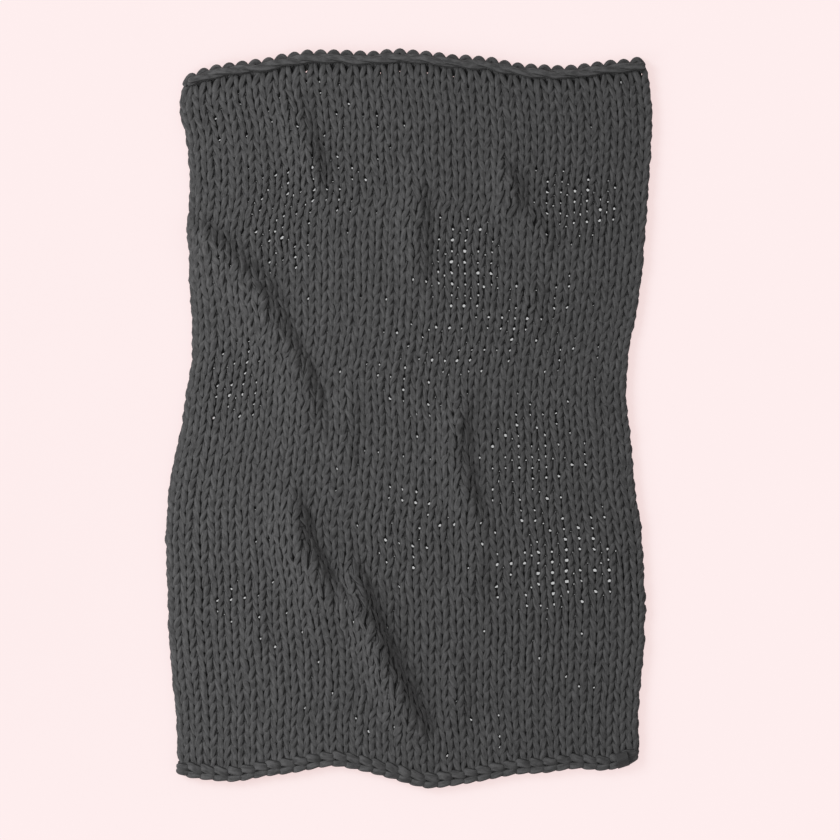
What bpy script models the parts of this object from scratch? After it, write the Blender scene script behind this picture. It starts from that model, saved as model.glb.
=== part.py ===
"""A chunky hand-knitted weighted blanket, laid out flat with soft folds, as closed solids in metres.

The cloth is one body, stockinette in one very thick yarn: its columns of stitches (wales) run along Y,
its rows (courses) along X. The far end is bound off in a scalloped roll, the near end is a chain.
The origin is the middle of the cloth's outline, on the surface it lies on.
"""
import math

import bmesh
import bpy
import numpy as np

# Driving dimensions, in metres.
WALES = 35
COURSES = 66
WALE = 0.031  # width of one column of stitches
COURSE = 0.025  # height of one row of stitches
THICK = 0.024  # two crossings of the yarn, one above the other
RIB = 0.0045  # how far the middle of a wale stands above its sides
SCALLOP = 0.012  # depth of the notches between the loops of the bound-off end
CHAIN_BUMP = 0.004  # how far each link of the chain swells in height
CHAIN_NOTCH = 0.005  # depth of the notches between the links
EDGE_DROP = 0.006  # the selvedge turns down this much at its outermost stitch
GAP_WIDE = 0.008
GAP_LONG = 0.009
GAPS = 84  # the widest gaps between stitches, cut right through
GAP_CHANCE = 0.6  # how much of a gap's width is chance, and not how far the cloth is pulled there
LEVEL = 0.002  # no gap opens where a fold lifts the cloth more than this
SEED = 7

FLAT_WIDE = WALES * WALE
FLAT_LONG = COURSES * COURSE
COLUMNS_A_WALE = 2
FABRIC_ROWS = 38
COURSE_SAMPLES = 1200
NUDGE = 0.001  # step in u and v over which the cloth's slope is measured
MM = 0.001

# The outline, in millimetres from the middle of the cloth: at each height the left and right selvedge.
SIDES = (
    # height, left, right
    (820, -511, 541),
    (780, -515, 552),
    (710, -526, 559),
    (640, -511, 559),
    (540, -504, 552),
    (400, -508, 543),
    (260, -501, 527),
    (160, -497, 508),
    (55, -513, 501),
    (-50, -529, 512),
    (-155, -550, 520),
    (-255, -559, 536),
    (-360, -557, 543),
    (-465, -554, 545),
    (-570, -547, 538),
    (-670, -536, 529),
    (-800, -531, 531),
)
# ... and at each place across it the near and the far end.
ENDS = (
    # across, near, far
    (-531, -820, 776),
    (-467, -829, 804),
    (-398, -834, 820),
    (-329, -822, 828),
    (-260, -813, 843),
    (-168, -799, 848),
    (-99, -811, 844),
    (-30, -829, 849),
    (39, -848, 846),
    (108, -843, 837),
    (177, -831, 832),
    (246, -818, 819),
    (315, -813, 812),
    (384, -804, 813),
    (453, -808, 822),
    (541, -783, 831),
)

# Ridges that the cloth makes where it has crept together, in millimetres: where the crest starts and
# ends, how far its middle bows towards the steep side, its height, and how far the gentle and the
# steep side reach.
FOLDS = (
    # start_x, start_y, end_x, end_y, bow, height, gentle, steep
    (-267, 721, -207, 539, 4, 15, 62, 42),
    (-488, 431, -219, 8, 55, 30, 105, 46),
    (23, 540, 21, 319, 0, 19, 65, 42),
    (223, 590, 244, 462, 6, 17, 58, 42),
    (262, 470, 330, 392, 4, 10, 50, 42),
    (120, 36, 166, -245, -28, 19, 65, 44),
    (166, -305, 129, -420, 4, 14, 60, 44),
    (-269, -190, -150, -462, -18, 42, 95, 50),
    (-126, -362, 30, -716, -4, 44, 66, 50),
    (-138, 60, -143, -98, 0, 9, 52, 42),
    (290, 310, 294, 185, 0, 8, 52, 42),
    (-343, -435, -338, -526, 0, 8, 55, 42),
    (110, -548, 115, -706, 0, 10, 60, 45),
)
FADE = 0.22  # share of a fold's length over which each end dies away

# The parts of the cloth that are pulled open, in millimetres: middle, half-widths, and how much of
# their area lies in gaps compared with the others.
OPEN_PLACES = (
    # middle_x, middle_y, reach_x, reach_y, share
    (405, -390, 175, 130, 1.0),
    (140, 330, 90, 130, 0.8),
    (405, 480, 90, 75, 0.5),
    (295, -85, 130, 115, 0.55),
    (-375, -15, 90, 140, 0.35),
    (100, 150, 135, 65, 0.4),
    (-290, 450, 95, 130, 0.4),
    (16, -255, 80, 70, 0.3),
    (135, -440, 45, 105, 0.15),
    (140, 620, 60, 105, 0.15),
    (-100, 645, 55, 75, 0.15),
)

# The edges in section, in millimetres: distance in from the edge and rise above the cloth's top.
FAR_ROLL = (
    # inset, rise
    (0, -8),
    (12, -4),
    (18, 7),
    (27, 8),
    (35, -5),
    (50, 0),
)
NEAR_CHAIN = (
    # inset, rise
    (0, -8),
    (8, 3),
    (19, 8),
    (30, 2),
    (38, -6),
    (52, 0),
)

# The sewn-on tab: the wale it is sewn to, its size, and its way over the chain's inner side, top and
# outer side.
LABEL_WALE = 33.6
LABEL_WIDE = 0.028
LABEL_THICK = 0.001
LABEL_COLUMNS = 4
LABEL_PATH = (
    # inset, height
    (34.5, 27.2),
    (30, 31.3),
    (19, 37.3),
    (8, 32.3),
    (-1.4, 21),
    (-2.4, 9),
)

YARN = (0.052, 0.052, 0.054, 1.0)
TAB = (0.018, 0.018, 0.020, 1.0)


def clear_scene():
    for thing in list(bpy.data.objects):
        bpy.data.objects.remove(thing, do_unlink=True)


def new_collection(name):
    made = bpy.data.collections.new(name)
    bpy.context.scene.collection.children.link(made)
    return made


def plain_material(name, colour, roughness):
    made = bpy.data.materials.new(name)
    made.use_nodes = True
    shader = made.node_tree.nodes["Principled BSDF"]
    shader.inputs["Base Color"].default_value = colour
    shader.inputs["Roughness"].default_value = roughness
    shader.inputs["Metallic"].default_value = 0.0
    return made


def smooth_through(rows, column, where):
    """A smooth curve through one column of a table, read at the places given, in metres."""
    table = np.array(sorted(rows), float) * MM
    knots = table[:, 0]
    values = table[:, column]
    slopes = np.gradient(values, knots)
    at = np.clip(where, knots[0], knots[-1])
    low = np.clip(np.searchsorted(knots, at) - 1, 0, len(knots) - 2)
    span = knots[low + 1] - knots[low]
    t = (at - knots[low]) / span
    from_low = values[low] * (1 + 2 * t) * (1 - t) ** 2 + slopes[low] * span * t * (1 - t) ** 2
    from_high = values[low + 1] * (3 - 2 * t) * t**2 - slopes[low + 1] * span * t**2 * (1 - t)
    return from_low + from_high


def corner(side_column, end_column):
    """Where a selvedge meets an end."""
    across = SIDES[0 if end_column == 2 else -1][side_column] * MM
    return np.array([across, smooth_through(ENDS, end_column, across)])


NEAR_LEFT = corner(1, 1)
NEAR_RIGHT = corner(2, 1)
FAR_LEFT = corner(1, 2)
FAR_RIGHT = corner(2, 2)


def selvedge(column, near, far, v):
    height = near[1] + (far[1] - near[1]) * v
    return np.stack([smooth_through(SIDES, column, height), height], -1)


def end(column, left, right, u):
    across = left[0] + (right[0] - left[0]) * u
    return np.stack([across, smooth_through(ENDS, column, across)], -1)


def outline_blend(u, v):
    """The cloth as it would lie without its folds: a patch blended between its four edges."""
    u1, v1 = u[..., None], v[..., None]
    sides = (1 - u1) * selvedge(1, NEAR_LEFT, FAR_LEFT, v) + u1 * selvedge(2, NEAR_RIGHT, FAR_RIGHT, v)
    ends = (1 - v1) * end(1, NEAR_LEFT, NEAR_RIGHT, u) + v1 * end(2, FAR_LEFT, FAR_RIGHT, u)
    near = (1 - u1) * NEAR_LEFT + u1 * NEAR_RIGHT
    far = (1 - u1) * FAR_LEFT + u1 * FAR_RIGHT
    return sides + ends - (1 - v1) * near - v1 * far


def fold_height(x, y):
    """How far the folds lift the cloth off the surface."""
    lift = np.zeros_like(x)
    for row in FOLDS:
        start_x, start_y, end_x, end_y, bow, height, gentle, steep = np.array(row, float) * MM
        long = math.hypot(end_x - start_x, end_y - start_y)
        run_x, run_y = (end_x - start_x) / long, (end_y - start_y) / long
        along = ((x - start_x) * run_x + (y - start_y) * run_y) / long
        across = (y - start_y) * run_x - (x - start_x) * run_y - bow * 4 * along * (1 - along)
        reach = np.where(across > 0, steep, gentle)
        bell = 0.5 + 0.5 * np.cos(math.pi * np.clip(np.abs(across) / reach, 0, 1))
        inside = np.clip((np.minimum(along, 1 - along) + FADE) / (2 * FADE), 0, 1)
        lift += height * bell * (0.5 - 0.5 * np.cos(math.pi * inside))
    return lift


def course(v, shares):
    """Points along one course. They are evenly spaced along the cloth, so they crowd where it climbs."""
    fine = np.linspace(0, 1, COURSE_SAMPLES)
    height = np.full_like(fine, v)
    flat = outline_blend(fine, height)
    lift = fold_height(flat[:, 0], flat[:, 1])
    steps = np.hypot(np.hypot(np.diff(flat[:, 0]), np.diff(flat[:, 1])), np.diff(lift))
    run = np.concatenate([[0], np.cumsum(steps)])
    at = np.interp(shares, run / run[-1], fine)
    placed = outline_blend(at, np.full_like(at, v))
    return np.column_stack([placed, fold_height(placed[:, 0], placed[:, 1])])


def edge_rise(rows, inset):
    table = np.array(rows, float) * MM
    return np.interp(inset, table[:, 0], table[:, 1])


def top_relief(u, v):
    """What stands above the cloth's even top: the wales, the roll, the chain and the turned-down sides."""
    wave = np.sin(math.pi * u * WALES) ** 2
    from_near = v * FLAT_LONG
    from_far = (1 - v) * FLAT_LONG
    from_side = np.minimum(u, 1 - u) * FLAT_WIDE
    in_chain = from_near < NEAR_CHAIN[-2][0] * MM
    in_roll = from_far < FAR_ROLL[-2][0] * MM
    ribs = np.where(in_chain, CHAIN_BUMP * wave, np.where(in_roll, 0, RIB * wave))
    sides = -EDGE_DROP * np.clip(1 - from_side / WALE, 0, 1)
    return ribs + sides + edge_rise(NEAR_CHAIN, from_near) + edge_rise(FAR_ROLL, from_far)


def scalloped(v, u):
    """Draws the two ends in between their loops, as a shift in v."""
    notch = 1 - np.abs(np.sin(math.pi * u * WALES))
    shift = np.where(v > 1 - 1e-6, -SCALLOP * notch, np.where(v < 1e-6, CHAIN_NOTCH * notch, 0))
    return v + shift / FLAT_LONG


def cloth_points(u, v, above):
    """Places points of the flat cloth: above is +1 on its top and -1 on its underside."""
    drawn = scalloped(v, u)
    middle = np.empty((len(u), 3))
    normal = np.empty((len(u), 3))
    for height in np.unique(np.round(drawn, 6)):
        here = np.round(drawn, 6) == height
        shares = u[here]
        middle[here] = course(height, shares)
        along = course(height + NUDGE, shares) - course(height - NUDGE, shares)
        across = course(height, shares + NUDGE) - course(height, shares - NUDGE)
        turned = np.cross(across, along)
        normal[here] = turned / np.linalg.norm(turned, axis=1)[:, None]
    middle[:, 2] += THICK / 2
    out = THICK / 2 + np.where(above > 0, top_relief(u, v), 0)
    return middle + normal * (above * out)[:, None]


def row_heights():
    """The rows of faces: close together in the two worked ends, even in between."""
    near = [inset * MM / FLAT_LONG for inset, _ in NEAR_CHAIN]
    far = [1 - inset * MM / FLAT_LONG for inset, _ in reversed(FAR_ROLL)]
    between = np.linspace(near[-1], far[0], FABRIC_ROWS + 1)[1:-1]
    return np.concatenate([near, between, far])


def open_gaps(sheet):
    """Opens the widest gaps between stitches, in the places where the cloth is pulled open."""
    chance = np.random.default_rng(SEED)
    places = np.array(OPEN_PLACES, float)
    faces = []
    for face in sheet.faces:
        centre = face.calc_center_median()
        u, v = np.array([centre.x]), np.array([centre.y])
        x, y = outline_blend(u, v)[0] / MM
        away = np.hypot((x - places[:, 0]) / places[:, 2], (y - places[:, 1]) / places[:, 3])
        pull = (places[:, 4] * np.clip(1 - away**2, 0, 1)).sum()
        luck = 1 - GAP_CHANCE * chance.random()
        if fold_height(np.array([x * MM]), np.array([y * MM]))[0] < LEVEL:
            faces.append((pull * luck, face))
    faces.sort(key=lambda pair: -pair[0])
    chosen = []
    taken = set()
    for pull, face in faces:
        near_by = {other for corner_point in face.verts for other in corner_point.link_faces}
        if len(chosen) < GAPS and not near_by & taken:
            chosen.append(face)
            taken.add(face)
    rims = set(bmesh.ops.inset_individual(sheet, faces=chosen, thickness=1e-4)["faces"])
    for face in chosen:
        centre = face.calc_center_median()
        for point in face.verts:
            point.co.x = centre.x + math.copysign(GAP_WIDE / 2 / FLAT_WIDE, point.co.x - centre.x)
            point.co.y = centre.y + math.copysign(GAP_LONG / 2 / FLAT_LONG, point.co.y - centre.y)
    bmesh.ops.delete(sheet, geom=chosen, context="FACES_ONLY")
    return rims


def split_along_folds(sheet, rims):
    """Cuts each face but those round a gap from far left to near right, the way most folds run."""
    for face in [f for f in sheet.faces if f not in rims]:
        far_left = min(face.verts, key=lambda p: p.co.x - p.co.y)
        near_right = max(face.verts, key=lambda p: p.co.x - p.co.y)
        bmesh.utils.face_split(face, far_left, near_right)


def add_blanket(collection, material):
    columns = WALES * COLUMNS_A_WALE
    heights = row_heights()
    bpy.ops.mesh.primitive_grid_add(x_subdivisions=columns, y_subdivisions=len(heights) - 1, size=1)
    blanket = bpy.context.object
    blanket.name = "blanket"
    sheet = bmesh.new()
    sheet.from_mesh(blanket.data)
    for point in sheet.verts:
        row = round((point.co.y + 0.5) * (len(heights) - 1))
        point.co = (point.co.x + 0.5, heights[row], 0)
    rims = open_gaps(sheet)
    split_along_folds(sheet, rims)
    ends = [e for e in sheet.edges if round(sum(p.co.y for p in e.verts), 6) in (0, 2)]
    bmesh.ops.subdivide_edges(sheet, edges=ends, cuts=1)
    under = list(sheet.verts)
    raised = bmesh.ops.extrude_face_region(sheet, geom=sheet.faces[:], use_keep_orig=True)
    top = {made for made in raised["geom"] if isinstance(made, bmesh.types.BMVert)}
    points = under + list(top)
    u = np.array([p.co.x for p in points])
    v = np.array([p.co.y for p in points])
    above = np.array([1 if p in top else -1 for p in points])
    for point, place in zip(points, cloth_points(u, v, above)):
        point.co = place
    bmesh.ops.recalc_face_normals(sheet, faces=sheet.faces[:])
    sheet.to_mesh(blanket.data)
    sheet.free()
    move_to(blanket, collection, material)
    return blanket


def add_label(collection, material):
    rows = len(LABEL_PATH)
    bpy.ops.mesh.primitive_grid_add(x_subdivisions=LABEL_COLUMNS, y_subdivisions=rows - 1, size=1)
    label = bpy.context.object
    label.name = "label"
    for point in label.data.vertices:
        inset, height = LABEL_PATH[round((point.co.y + 0.5) * (rows - 1))]
        u = (LABEL_WALE * WALE + point.co.x * LABEL_WIDE) / FLAT_WIDE
        x, y, _ = course(inset * MM / FLAT_LONG, np.array([u]))[0]
        point.co = (x, y, height * MM)
    fold_over = label.modifiers.new("thickness", "SOLIDIFY")
    fold_over.thickness = LABEL_THICK
    fold_over.offset = 0
    move_to(label, collection, material)
    return label


def centre_on_outline(blanket, others):
    """Moves everything so that the middle of the cloth's outline is at the origin."""
    places = np.array([point.co for point in blanket.data.vertices])
    middle = (places.min(0) + places.max(0)) / 2
    for piece in [blanket, *others]:
        for point in piece.data.vertices:
            point.co.x -= middle[0]
            point.co.y -= middle[1]


def move_to(piece, collection, material):
    for other in list(piece.users_collection):
        other.objects.unlink(piece)
    collection.objects.link(piece)
    piece.data.materials.clear()
    piece.data.materials.append(material)


def main():
    clear_scene()
    collection = new_collection("weighted_blanket")
    yarn = plain_material("yarn", YARN, 0.9)
    tab = plain_material("label", TAB, 0.6)
    blanket = add_blanket(collection, yarn)
    label = add_label(collection, tab)
    centre_on_outline(blanket, [label])


main()
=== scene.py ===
"""The look of the knitted blanket: its yarn, stitch by stitch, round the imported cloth, with its ends, label,
floor, light and camera. Sizes are in metres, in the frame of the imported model, unless a comment says so.

The cloth is measured by wales across from its left selvedge, by metres up it from its near edge, and by
metres above its middle. read_cloth turns those into places in the scene.
"""
import math

import bpy
import numpy as np
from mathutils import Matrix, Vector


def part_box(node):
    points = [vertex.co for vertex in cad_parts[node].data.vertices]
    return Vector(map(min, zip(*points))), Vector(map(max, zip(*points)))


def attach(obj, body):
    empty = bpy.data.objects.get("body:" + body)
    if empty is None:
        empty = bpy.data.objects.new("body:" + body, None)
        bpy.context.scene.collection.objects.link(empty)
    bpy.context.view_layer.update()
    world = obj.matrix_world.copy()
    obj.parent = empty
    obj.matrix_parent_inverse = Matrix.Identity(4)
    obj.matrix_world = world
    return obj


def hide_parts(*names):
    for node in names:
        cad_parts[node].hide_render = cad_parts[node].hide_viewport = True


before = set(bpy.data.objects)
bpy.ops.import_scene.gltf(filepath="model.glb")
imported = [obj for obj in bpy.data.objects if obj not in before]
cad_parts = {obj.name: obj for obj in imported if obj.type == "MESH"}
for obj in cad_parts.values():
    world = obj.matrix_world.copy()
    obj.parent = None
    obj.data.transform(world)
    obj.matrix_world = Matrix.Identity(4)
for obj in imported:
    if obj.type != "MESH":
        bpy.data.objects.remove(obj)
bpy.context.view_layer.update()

# ---------------- the cloth, in the sizes of its source

WALES = 35
WALE = 0.031  # width of one column of stitches
FLAT_WIDE = WALES * WALE
FLAT_LONG = 1.65
THICK = 0.024  # two crossings of the yarn, one above the other
MM = 0.001

# The outline, in millimetres from the middle of the cloth: at each height the left and right selvedge.
SIDES = (
    # height, left, right
    (820, -511, 541),
    (780, -515, 552),
    (710, -526, 559),
    (640, -511, 559),
    (540, -504, 552),
    (400, -508, 543),
    (260, -501, 527),
    (160, -497, 508),
    (55, -513, 501),
    (-50, -529, 512),
    (-155, -550, 520),
    (-255, -559, 536),
    (-360, -557, 543),
    (-465, -554, 545),
    (-570, -547, 538),
    (-670, -536, 529),
    (-800, -531, 531),
)
# ... and at each place across it the near and the far end.
ENDS = (
    # across, near, far
    (-531, -820, 776),
    (-467, -829, 804),
    (-398, -834, 820),
    (-329, -822, 828),
    (-260, -813, 843),
    (-168, -799, 848),
    (-99, -811, 844),
    (-30, -829, 849),
    (39, -848, 846),
    (108, -843, 837),
    (177, -831, 832),
    (246, -818, 819),
    (315, -813, 812),
    (384, -804, 813),
    (453, -808, 822),
    (541, -783, 831),
)
# Ridges that the cloth makes where it has crept together, in millimetres: where the crest starts and
# ends, how far its middle bows towards the steep side, its height, and how far the gentle and the
# steep side reach.
FOLDS = (
    # start_x, start_y, end_x, end_y, bow, height, gentle, steep
    (-267, 721, -207, 539, 4, 15, 62, 42),
    (-488, 431, -214, 8, 36, 24, 100, 38),
    (23, 540, 21, 319, 0, 15, 65, 38),
    (223, 575, 244, 468, 6, 15, 58, 42),
    (262, 470, 330, 392, 4, 10, 50, 42),
    (120, 36, 166, -245, -28, 16, 65, 42),
    (166, -305, 129, -420, 4, 10, 60, 44),
    (-269, -190, -150, -462, -18, 32, 95, 36),
    (-132, -352, 26, -716, -12, 34, 66, 34),
    (-138, 60, -143, -98, 0, 9, 52, 42),
    (290, 310, 294, 185, 0, 8, 52, 42),
    (-343, -435, -338, -526, 0, 8, 55, 42),
    (110, -548, 115, -706, 0, 10, 60, 45),
)
# Finer creases that the yarn makes on and beside those ridges, in the same measure.
CREASES = (
    # start_x, start_y, end_x, end_y, bow, height, gentle, steep
    (-500, 445, -296, 250, 22, 12, 50, 30),
    (-236, 640, -200, 520, 2, 6, 40, 26),
    (215, 595, 240, 480, 4, 7, 45, 28),
    (-214, -322, -114, -444, -6, 18, 42, 20),
    (-100, -400, 20, -690, -14, 8, 40, 22),
    (128, 30, 160, -230, -20, 5, 40, 26),
)
FADE = 0.22  # share of a fold's length over which each end dies away
# The parts of the cloth that are pulled open, in millimetres: middle, half-widths, and how far open.
OPEN_PLACES = (
    # middle_x, middle_y, reach_x, reach_y, share
    (360, -335, 170, 100, 0.80),
    (290, -85, 100, 130, 0.75),
    (390, 490, 105, 75, 1.00),
    (124, 380, 80, 95, 0.90),
    (152, 225, 120, 110, 0.60),
    (300, 210, 80, 90, 0.45),
    (-399, 80, 90, 80, 0.95),
    (-298, 450, 75, 110, 0.85),
    (-280, 690, 170, 60, 0.28),
    (-190, 550, 110, 70, 0.50),
    (10, -260, 85, 80, 0.52),
    (20, 90, 100, 100, 0.50),
    (-390, -400, 60, 60, 0.40),
    (-248, 812, 75, 14, 0.60),
)

# ---------------- the yarn and its stitches

YARN_WIDE = 0.0148
YARN_THICK = 0.012
YARN_SIDES = 8
YARN_PRESSED = 0.60  # 1 would leave its section an ellipse, and less makes it squarer
YARN_ROUND = 0.044  # metres round the yarn
YARN_OFFSET = 3.7  # metres of yarn between one line's fibres and the next one's in their map
CHAIN_LONG = 0.032  # how much of the cloth's length the chain takes at the near end
ROLL_LONG = 0.035  # ... and the roll at the far end
COURSES = 64  # rows of stitches between them
COURSE = (FLAT_LONG - CHAIN_LONG - ROLL_LONG) / COURSES
LEG_LEAN = 0.222  # how far a leg leans, in wales
LOOP_REACH = 1.12  # how far a loop reaches above and below the middle of its course, in courses
LOOP_DEPTH = 0.0042  # how far the legs come forward and the loops' heads go back
LOOP_TILT = 0.0032  # how far each leg's foot comes forward, over the top of the leg below it
CROSS_THIN = 0.22  # how much thinner the yarn is pressed where it crosses its neighbours
BACK_THIN = 0.4  # ... and at the head of each loop, behind the cloth, which leaves the gaps clear
BACK_SHORT = 8  # a higher number keeps that to a shorter stretch of the loop
FOOT_AT = math.pi / 8  # how far round its loop from the lowest point a leg's foot bends back
FOOT_DOWN = 0.0008  # how much deeper the yarn lies in the crease at that bend
FOOT_THIN = 0.10  # ... and how much thinner it is there
TURN_OUT = 0.31  # how far the yarn bulges out from its last leg's foot where it turns, in wales
TURN_LONG = 0.14  # how far the turn reaches past its ends, in courses
TURN_THIN = 0.35  # how much thinner the yarn is where it turns
TURN_LIFT = -0.003  # how far its middle rises: it goes down, as a selvedge curls under
EDGE_IN = YARN_WIDE / 2 * (1 - TURN_THIN) / FLAT_WIDE  # the turns' middles lie this share inside
EDGE_LEFT = EDGE_IN - 0.0015  # ... but the turns reach past the selvedges a little, more so at the right
EDGE_RIGHT = EDGE_IN - 0.0042
ROLLED_WALES = 3.0  # how many wales at the left selvedge roll under a little
ROLLED_OUT = 0.10  # ... how far that draws the legs beside it outwards, in wales
ROLLED_DOWN = 0.006  # ... and how far the selvedge itself goes down
TUCKED_FLAT = 0.35  # the courses under the chain and the roll keep this much of their depth
TUCKED_DOWN = -0.003  # ... but lie lower by this
TUCKED_SHORT = 0.45  # ... and keep this much of their reach along the cloth
STITCH_POINTS = 16  # points of the yarn's path in a stitch
CUT_POINTS = 2  # points left out at each end of a course, where the turn takes over
TURN_POINTS = 8  # points of that turn
COURSE_STRIPS = 6  # how many strips each of its tubes takes up in the map to bake on
END_STRIPS = 8  # ... and how many each strand of the two ends does
STRIP_MARGIN = 0.04  # the share of a strip's height left free on each side of it
BALLS = 5  # the pieces that the courses are dealt out to, a pair at a time

# Chance differences from leg to leg.
SEED = 11  # each piece draws from this number plus one of its own
SHIFT_ACROSS = 0.07  # wales, for neighbouring legs together
SHIFT_ALONG = 0.07  # courses, likewise
SHIFT_DEPTH = 0.0008  # metres up and down, leg by leg
LEAN_SPREAD = 0.24  # how much more or less a leg leans, as a share of its lean
WIDTH_SPREAD = 0.05  # ... and how much wider or narrower it is
FIELD_MARGIN = 3  # how far the shifts' chance values reach past the cloth, in courses and in half wales
QUARTER_WALE = 0.25
CRUMPLE_HEIGHT = 0.020  # where a fold is this high, its stitches are fully disordered
CRUMPLE_GAIN = 1.7  # how much more they are shifted there
CRUMPLE_ROOM = (0.75, 1.30)  # the least and the most that the yarn's width changes with its room
PULLED_THIN = 0.2  # how much thinner the yarn is where the cloth is pulled open

# Gaps between stitches, on the middle line of each wale and on the line between two.
GAP_MIDDLE = 0.0  # where those on a middle line lie, in courses from the middle of their course
GAP_BETWEEN = -0.25  # ... and those between two wales
GAP_PUSH = 0.0066  # how far the widest gap pushes the yarn aside
GAP_REACH = 0.017  # how far from a gap the yarn still gives way
GAP_BASE = 0.065  # the share of the sites that are open where the cloth isn't pulled
GAP_GAIN = 0.95  # ... and how much that grows where it is pulled fully open
GAP_SMALLER = 0.60  # how wide the gaps between two wales are, beside those on a wale's middle line
GAP_LEAST = 0.30  # the narrowest gap, as a share of the widest
GAP_RARE = 1.9  # a higher number makes wide gaps rarer
GAP_UNPULLED = 0.4  # how wide gaps are where the cloth isn't pulled, beside those where it is
CLOSED_EDGE = 4  # half wales without gaps along each selvedge
UNDER_MIDDLE = (0.0225, 0, 0)  # the place under the cloth where the floor shows through the gaps
UNDER_REACH = (0.4775, 0.79, 1)  # ... and half its size

# ---------------- the lattice that the cloth is read from

BEYOND = 0.03  # the lattice goes this much past the cloth's edges, as a share of its width
LATTICE_WIDE = 281  # its points across the cloth and along it
LATTICE_LONG = 401
COURSE_SAMPLES = 1300  # points at which the cloth's length across is measured


def ease(share):
    """A smooth step that goes from 0 to 1 as the share does."""
    return 0.5 - 0.5 * np.cos(math.pi * share)


def smooth_curve(knots, values, where):
    """A smooth curve through the values at some knots, one number or one row each, read at other places."""
    slopes = np.gradient(values, knots, axis=0)
    at = np.clip(where, knots[0], knots[-1])
    low = np.clip(np.searchsorted(knots, at) - 1, 0, len(knots) - 2)
    span = knots[low + 1] - knots[low]
    t = (at - knots[low]) / span
    if values.ndim > 1:
        span = span[:, None]
        t = t[:, None]
    from_low = values[low] * (1 + 2 * t) * (1 - t) ** 2 + slopes[low] * span * t * (1 - t) ** 2
    from_high = values[low + 1] * (3 - 2 * t) * t**2 - slopes[low + 1] * span * t**2 * (1 - t)
    return from_low + from_high


def smooth_through(rows, column, where):
    """A smooth curve through one column of a table in millimetres, read and given in metres."""
    table = np.array(sorted(rows), float) * MM
    return smooth_curve(table[:, 0], table[:, column], where)


def corner(side_column, end_column):
    """Where a selvedge meets an end."""
    across = SIDES[0 if end_column == 2 else -1][side_column] * MM
    return np.array([across, smooth_through(ENDS, end_column, across)])


NEAR_LEFT = corner(1, 1)
NEAR_RIGHT = corner(2, 1)
FAR_LEFT = corner(1, 2)
FAR_RIGHT = corner(2, 2)


def selvedge(column, near, far, v):
    """Points of the left or right selvedge, at shares of the way up it."""
    height = near[1] + (far[1] - near[1]) * v
    return np.stack([smooth_through(SIDES, column, height), height], -1)


def end(column, left, right, u):
    """Points of the near or far end, at shares of the way across it."""
    across = left[0] + (right[0] - left[0]) * u
    return np.stack([across, smooth_through(ENDS, column, across)], -1)


def outline_blend(u, v):
    """The cloth as it would lie without its folds: a patch blended between its four edges."""
    u1, v1 = u[..., None], v[..., None]
    sides = (1 - u1) * selvedge(1, NEAR_LEFT, FAR_LEFT, v) + u1 * selvedge(2, NEAR_RIGHT, FAR_RIGHT, v)
    ends = (1 - v1) * end(1, NEAR_LEFT, NEAR_RIGHT, u) + v1 * end(2, FAR_LEFT, FAR_RIGHT, u)
    near = (1 - u1) * NEAR_LEFT + u1 * NEAR_RIGHT
    far = (1 - u1) * FAR_LEFT + u1 * FAR_RIGHT
    return sides + ends - (1 - v1) * near - v1 * far


def fold_height(x, y):
    """How far the folds lift the cloth off the surface."""
    lift = np.zeros_like(x)
    for row in FOLDS + CREASES:
        start_x, start_y, end_x, end_y, bow, height, gentle, steep = np.array(row, float) * MM
        long = math.hypot(end_x - start_x, end_y - start_y)
        run_x, run_y = (end_x - start_x) / long, (end_y - start_y) / long
        along = ((x - start_x) * run_x + (y - start_y) * run_y) / long
        across = (y - start_y) * run_x - (x - start_x) * run_y - bow * 4 * along * (1 - along)
        reach = np.where(across > 0, steep, gentle)
        bell = 1 - ease(np.clip(np.abs(across) / reach, 0, 1))
        inside = np.clip((np.minimum(along, 1 - along) + FADE) / (2 * FADE), 0, 1)
        lift += height * bell * ease(inside)
    return lift


def course_line(v, shares):
    """Points of the cloth's middle along one course, evenly spaced along the cloth."""
    fine = np.linspace(-BEYOND, 1 + BEYOND, COURSE_SAMPLES)
    flat = outline_blend(fine, np.full_like(fine, v))
    lift = fold_height(flat[:, 0], flat[:, 1])
    steps = np.hypot(np.hypot(np.diff(flat[:, 0]), np.diff(flat[:, 1])), np.diff(lift))
    run = np.concatenate([[0], np.cumsum(steps)])
    start, stop = np.interp([0, 1], fine, run)
    at = np.interp(start + shares * (stop - start), run, fine)
    placed = outline_blend(at, np.full_like(at, v))
    return np.column_stack([placed, THICK / 2 + fold_height(placed[:, 0], placed[:, 1])])


def unit(vectors):
    """The same directions, each one long."""
    return vectors / np.maximum(np.linalg.norm(vectors, axis=-1), 1e-12)[..., None]


def lattice():
    """The cloth's middle on an even grid of its own measure, and the directions that point up from it."""
    shares = np.linspace(-BEYOND, 1 + BEYOND, LATTICE_WIDE)
    heights = np.linspace(-BEYOND, 1 + BEYOND, LATTICE_LONG)
    places = np.stack([course_line(v, shares) for v in heights])
    low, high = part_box("blanket")
    inner = places[(heights >= 0) & (heights <= 1)][:, (shares >= 0) & (shares <= 1), :2]
    middle = (inner.min((0, 1)) + inner.max((0, 1))) / 2
    places[..., 0] += (low.x + high.x) / 2 - middle[0]
    places[..., 1] += (low.y + high.y) / 2 - middle[1]
    up = unit(np.cross(np.gradient(places, axis=1), np.gradient(places, axis=0)))
    return places, up


PLACES, UP = lattice()


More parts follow.
